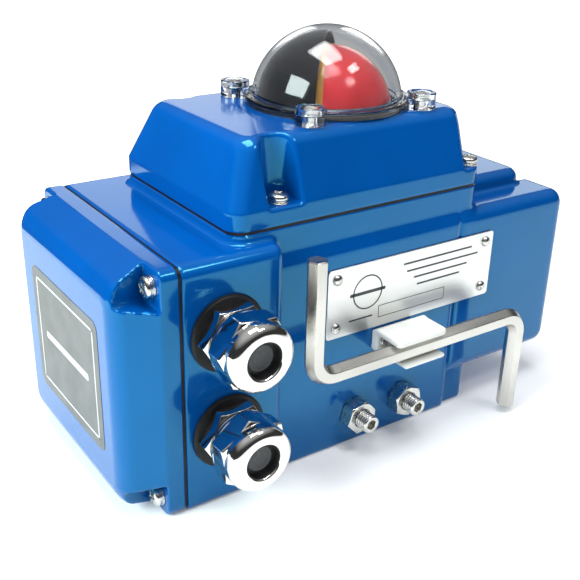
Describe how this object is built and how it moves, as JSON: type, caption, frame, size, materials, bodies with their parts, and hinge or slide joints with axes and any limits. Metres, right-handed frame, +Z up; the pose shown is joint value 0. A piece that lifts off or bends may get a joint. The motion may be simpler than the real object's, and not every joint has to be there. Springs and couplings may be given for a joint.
{
  "type": "quarter-turn electric valve actuator",
  "caption": "Motorized quarter-turn valve actuator with worm drive, clear dome position indicator, cable glands and a clip-on hex hand wrench.",
  "frame": {"origin": "on the output shaft axis, in the plane of the valve mounting face", "axes": "+Z up along the output shaft, +X towards the motor end, -Y towards the nameplate side"},
  "size_m": [0.2235, 0.1326, 0.167],
  "materials": {
    "blue_enamel": "gloss stove enamel on die-cast aluminium",
    "gasket_rubber": "satin black rubber",
    "stainless": "bright stainless, lightly worn",
    "wrench_steel": "drawn hex bar, satin nickel finish",
    "nickel_plate": "polished nickel-plated brass",
    "blank_plastic": "dark grey moulded disc",
    "label_steel": "satin brushed plate",
    "white_plastic": "white nylon",
    "clear_dome": "clear polycarbonate",
    "indicator_black": "gloss black",
    "indicator_red": "gloss red",
    "indicator_yellow": "gloss yellow",
    "grey_plastic": "moulded grey",
    "black_plastic": "moulded black",
    "cam_plastic": "natural acetal",
    "machined_steel": "turned and oiled",
    "gear_steel": "hobbed steel, greased",
    "bronze": "cast bronze",
    "zinc_sheet": "zinc-plated sheet",
    "motor_grey": "grey enamel can",
    "copper_core": "varnished windings and laminations",
    "capacitor_case": "pale plastic case",
    "earth_green": "green-passivated brass"
  },
  "bodies": {
    "housing": {"main_body": "blue_enamel", "terminal_cover": "blue_enamel", "terminal_gasket": "gasket_rubber", "terminal_cover_screws": "stainless", "top_cover": "blue_enamel", "top_gasket": "gasket_rubber", "top_cover_screws": "stainless", "dome": "clear_dome", "dome_seal": "gasket_rubber", "dome_screws": "stainless", "indicator_mask": "indicator_black", "nameplate": "label_steel", "nameplate_rivets": "stainless", "gland_washers": "gasket_rubber", "gland_bodies": "nickel_plate", "gland_locknuts": "nickel_plate", "gland_inserts": "gasket_rubber", "gland_blanks": "blank_plastic", "wrench_clip": "white_plastic", "clip_screw": "stainless", "stop_nuts": "stainless", "lower_bush": "bronze", "upper_bush": "bronze", "gear_plate": "zinc_sheet", "plate_screws": "stainless", "worm_bushes": "bronze", "override_seal": "gasket_rubber", "idler_pin": "machined_steel", "motor_can": "motor_grey", "motor_stator": "copper_core", "motor_end_plate": "zinc_sheet", "switch_bracket": "zinc_sheet", "limit_switches": "black_plastic", "terminal_block": "black_plastic", "terminal_screws": "stainless", "earth_screw": "earth_green", "capacitor": "capacitor_case", "capacitor_clamp": "zinc_sheet"},
    "output": {"output_shaft": "machined_steel", "wheel_key": "machined_steel", "worm_wheel": "bronze", "stop_cam": "machined_steel", "limit_cams": "cam_plastic", "indicator_hub": "grey_plastic", "indicator_red": "indicator_red", "indicator_yellow": "indicator_yellow"},
    "worm": {"worm_shaft": "machined_steel", "worm_gear": "gear_steel"},
    "idler": {"idler_gear": "gear_steel"},
    "rotor": {"motor_rotor": "machined_steel", "motor_pinion": "gear_steel"},
    "gland_upper": {"gland_cap_upper": "nickel_plate"},
    "gland_lower": {"gland_cap_lower": "nickel_plate"},
    "stop_left": {"stop_screw_left": "stainless"},
    "stop_right": {"stop_screw_right": "stainless"},
    "wrench": {"hand_wrench": "wrench_steel"},
    "lever_low": {"switch_lever_low": "zinc_sheet"},
    "lever_high": {"switch_lever_high": "zinc_sheet"}
  },
  "joints": [
    {"name": "output_turn", "type": "hinge", "parent": "housing", "child": "output", "pos_m": [0, 0, 0.05], "axis": [0, 0, 1], "range_deg": [0, 90]},
    {"name": "worm_spin", "type": "hinge", "parent": "housing", "child": "worm", "pos_m": [0, -0.0305, 0.042], "axis": [1, 0, 0], "range_deg": [-2720, 20]},
    {"name": "idler_spin", "type": "hinge", "parent": "housing", "child": "idler", "pos_m": [0.084, -0.0092, 0.05691], "axis": [1, 0, 0], "range_deg": [-20, 1450]},
    {"name": "rotor_spin", "type": "hinge", "parent": "housing", "child": "rotor", "pos_m": [0.05, 0.01255, 0.06706], "axis": [1, 0, 0], "range_deg": [-3500, 20]},
    {"name": "gland_upper_turn", "type": "hinge", "parent": "housing", "child": "gland_upper", "pos_m": [-0.077, -0.068, 0.072], "axis": [0, -1, 0], "range_deg": [0, 720]},
    {"name": "gland_lower_turn", "type": "hinge", "parent": "housing", "child": "gland_lower", "pos_m": [-0.077, -0.068, 0.031], "axis": [0, -1, 0], "range_deg": [0, 720]},
    {"name": "stop_left_adjust", "type": "slide", "parent": "housing", "child": "stop_left", "axis": [0, -1, 0], "range_m": [0, 0.004]},
    {"name": "stop_right_adjust", "type": "slide", "parent": "housing", "child": "stop_right", "axis": [0, -1, 0], "range_m": [0, 0.004]},
    {"name": "wrench_pull", "type": "slide", "parent": "housing", "child": "wrench", "axis": [0, -1, 0], "range_m": [0, 0.03]},
    {"name": "lever_low_press", "type": "hinge", "parent": "housing", "child": "lever_low", "pos_m": [-0.023, -0.009, 0.1098], "axis": [0, 0, 1], "range_deg": [0, 4], "stiffness_Nm_per_rad": 0.01, "springref_deg": -2.86},
    {"name": "lever_high_press", "type": "hinge", "parent": "housing", "child": "lever_high", "pos_m": [-0.023, -0.009, 0.1168], "axis": [0, 0, 1], "range_deg": [0, 4], "stiffness_Nm_per_rad": 0.01, "springref_deg": -2.86}
  ],
  "couplings": [
    {"joint": "worm_spin", "follows": "output_turn", "ratio": -30},
    {"joint": "idler_spin", "follows": "output_turn", "ratio": 15.882},
    {"joint": "rotor_spin", "follows": "output_turn", "ratio": -38.571}
  ]
}
